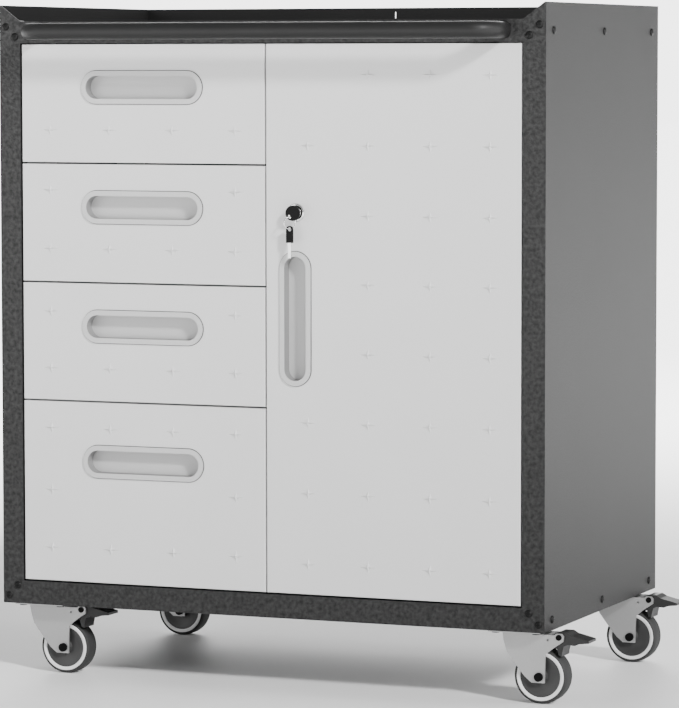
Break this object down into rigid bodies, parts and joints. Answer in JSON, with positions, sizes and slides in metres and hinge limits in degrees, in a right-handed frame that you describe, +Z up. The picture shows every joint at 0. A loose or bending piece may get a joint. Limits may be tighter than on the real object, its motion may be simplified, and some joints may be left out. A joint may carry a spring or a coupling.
{
  "type": "rolling tool cabinet",
  "caption": "Steel rolling tool cabinet with a column of drawers, a lockable door, an open top tray, a front push handle and braked swivel casters.",
  "frame": {"origin": "on the floor under the centre of the cabinet body", "axes": "+X to the right seen from the front, +Y to the back, +Z up; the drawers open towards -Y"},
  "size_m": [0.7472, 0.476, 0.815],
  "materials": {
    "charcoal_coat": "fine textured",
    "pale_coat": "satin",
    "pull_plastic": "satin",
    "inner_coat": "satin",
    "zinc": "brushed",
    "fork_zinc": "satin",
    "wheel_plastic": "satin",
    "tyre_rubber": "matte",
    "pedal_coat": "satin",
    "screw_steel": "satin",
    "lock_chrome": "polished",
    "key_plastic": "satin"
  },
  "bodies": {
    "cabinet": {"back_panel_left": "charcoal_coat", "back_panel_right": "charcoal_coat", "bottom_panel": "charcoal_coat", "bottom_rail": "charcoal_coat", "caster_bolts": "screw_steel", "caster_plates": "zinc", "divider_panel": "charcoal_coat", "frame_screws": "screw_steel", "hinge_pins": "screw_steel", "left_side_panel": "charcoal_coat", "push_handle": "charcoal_coat", "right_side_panel": "charcoal_coat", "shelf": "charcoal_coat", "side_screws": "screw_steel", "slide_outer_members": "zinc", "slide_posts": "zinc", "top_rail": "charcoal_coat", "top_tray": "charcoal_coat"},
    "door": {"door_panel": "pale_coat", "door_inner_panel": "inner_coat", "door_pull": "pull_plastic", "lock_barrel": "lock_chrome"},
    "lock": {"lock_plug": "lock_chrome", "lock_cam": "screw_steel", "key_blade": "lock_chrome", "key_head": "key_plastic"},
    "ring": {"key_ring": "lock_chrome"},
    "spare": {"spare_key": "key_plastic"},
    "drawer_1": {"drawer_1_front": "pale_coat", "drawer_1_pull": "pull_plastic", "drawer_1_box": "inner_coat", "drawer_1_slides": "zinc"},
    "drawer_2": {"drawer_2_front": "pale_coat", "drawer_2_pull": "pull_plastic", "drawer_2_box": "inner_coat", "drawer_2_slides": "zinc"},
    "drawer_3": {"drawer_3_front": "pale_coat", "drawer_3_pull": "pull_plastic", "drawer_3_box": "inner_coat", "drawer_3_slides": "zinc"},
    "drawer_4": {"drawer_4_front": "pale_coat", "drawer_4_pull": "pull_plastic", "drawer_4_box": "inner_coat", "drawer_4_slides": "zinc"},
    "caster_front_left": {"caster_front_left_fork": "fork_zinc"},
    "wheel_front_left": {"caster_front_left_wheel": "wheel_plastic", "caster_front_left_tyre": "tyre_rubber"},
    "pedal_front_left": {"caster_front_left_pedal": "pedal_coat"},
    "caster_front_right": {"caster_front_right_fork": "fork_zinc"},
    "wheel_front_right": {"caster_front_right_wheel": "wheel_plastic", "caster_front_right_tyre": "tyre_rubber"},
    "pedal_front_right": {"caster_front_right_pedal": "pedal_coat"},
    "caster_rear_left": {"caster_rear_left_fork": "fork_zinc"},
    "wheel_rear_left": {"caster_rear_left_wheel": "wheel_plastic", "caster_rear_left_tyre": "tyre_rubber"},
    "pedal_rear_left": {"caster_rear_left_pedal": "pedal_coat"},
    "caster_rear_right": {"caster_rear_right_fork": "fork_zinc"},
    "wheel_rear_right": {"caster_rear_right_wheel": "wheel_plastic", "caster_rear_right_tyre": "tyre_rubber"},
    "pedal_rear_right": {"caster_rear_right_pedal": "pedal_coat"}
  },
  "joints": [
    {"name": "drawer_1_slide", "type": "slide", "parent": "cabinet", "child": "drawer_1", "axis": [0, -1, 0], "range_m": [0, 0.28]},
    {"name": "drawer_2_slide", "type": "slide", "parent": "cabinet", "child": "drawer_2", "axis": [0, -1, 0], "range_m": [0, 0.28]},
    {"name": "drawer_3_slide", "type": "slide", "parent": "cabinet", "child": "drawer_3", "axis": [0, -1, 0], "range_m": [0, 0.28]},
    {"name": "drawer_4_slide", "type": "slide", "parent": "cabinet", "child": "drawer_4", "axis": [0, -1, 0], "range_m": [0, 0.28]},
    {"name": "door_hinge", "type": "hinge", "parent": "cabinet", "child": "door", "pos_m": [0.3142, -0.205, 0.44], "axis": [0, 0, 1], "range_deg": [0, 105]},
    {"name": "lock_turn", "type": "hinge", "parent": "door", "child": "lock", "pos_m": [0.0398, -0.21, 0.5697], "axis": [0, 1, 0], "range_deg": [0, 90]},
    {"name": "ring_swing", "type": "hinge", "parent": "lock", "child": "ring", "pos_m": [0.0356, -0.2203, 0.565], "axis": [-0.7071, 0.7071, 0], "range_deg": [-4, 4]},
    {"name": "spare_key_swing", "type": "hinge", "parent": "ring", "child": "spare", "pos_m": [0.0356, -0.2203, 0.5506], "axis": [0, 1, 0], "range_deg": [-20, 20]},
    {"name": "caster_front_left_swivel", "type": "hinge", "parent": "cabinet", "child": "caster_front_left", "pos_m": [-0.308, -0.17, 0.0825], "axis": [0, 0, 1], "continuous": true},
    {"name": "wheel_front_left_roll", "type": "hinge", "parent": "caster_front_left", "child": "wheel_front_left", "pos_m": [-0.281, -0.17, 0.0325], "axis": [0, 1, 0], "continuous": true},
    {"name": "pedal_front_left_press", "type": "hinge", "parent": "caster_front_left", "child": "pedal_front_left", "pos_m": [-0.2565, -0.17, 0.08], "axis": [0, 1, 0], "range_deg": [0, 12]},
    {"name": "caster_front_right_swivel", "type": "hinge", "parent": "cabinet", "child": "caster_front_right", "pos_m": [0.308, -0.17, 0.0825], "axis": [0, 0, 1], "continuous": true},
    {"name": "wheel_front_right_roll", "type": "hinge", "parent": "caster_front_right", "child": "wheel_front_right", "pos_m": [0.335, -0.17, 0.0325], "axis": [0, 1, 0], "continuous": true},
    {"name": "pedal_front_right_press", "type": "hinge", "parent": "caster_front_right", "child": "pedal_front_right", "pos_m": [0.3595, -0.17, 0.08], "axis": [0, 1, 0], "range_deg": [0, 12]},
    {"name": "caster_rear_left_swivel", "type": "hinge", "parent": "cabinet", "child": "caster_rear_left", "pos_m": [-0.308, 0.17, 0.0825], "axis": [0, 0, 1], "continuous": true},
    {"name": "wheel_rear_left_roll", "type": "hinge", "parent": "caster_rear_left", "child": "wheel_rear_left", "pos_m": [-0.281, 0.17, 0.0325], "axis": [0, 1, 0], "continuous": true},
    {"name": "pedal_rear_left_press", "type": "hinge", "parent": "caster_rear_left", "child": "pedal_rear_left", "pos_m": [-0.2565, 0.17, 0.08], "axis": [0, 1, 0], "range_deg": [0, 12]},
    {"name": "caster_rear_right_swivel", "type": "hinge", "parent": "cabinet", "child": "caster_rear_right", "pos_m": [0.308, 0.17, 0.0825], "axis": [0, 0, 1], "continuous": true},
    {"name": "wheel_rear_right_roll", "type": "hinge", "parent": "caster_rear_right", "child": "wheel_rear_right", "pos_m": [0.335, 0.17, 0.0325], "axis": [0, 1, 0], "continuous": true},
    {"name": "pedal_rear_right_press", "type": "hinge", "parent": "caster_rear_right", "child": "pedal_rear_right", "pos_m": [0.3595, 0.17, 0.08], "axis": [0, 1, 0], "range_deg": [0, 12]}
  ]
}
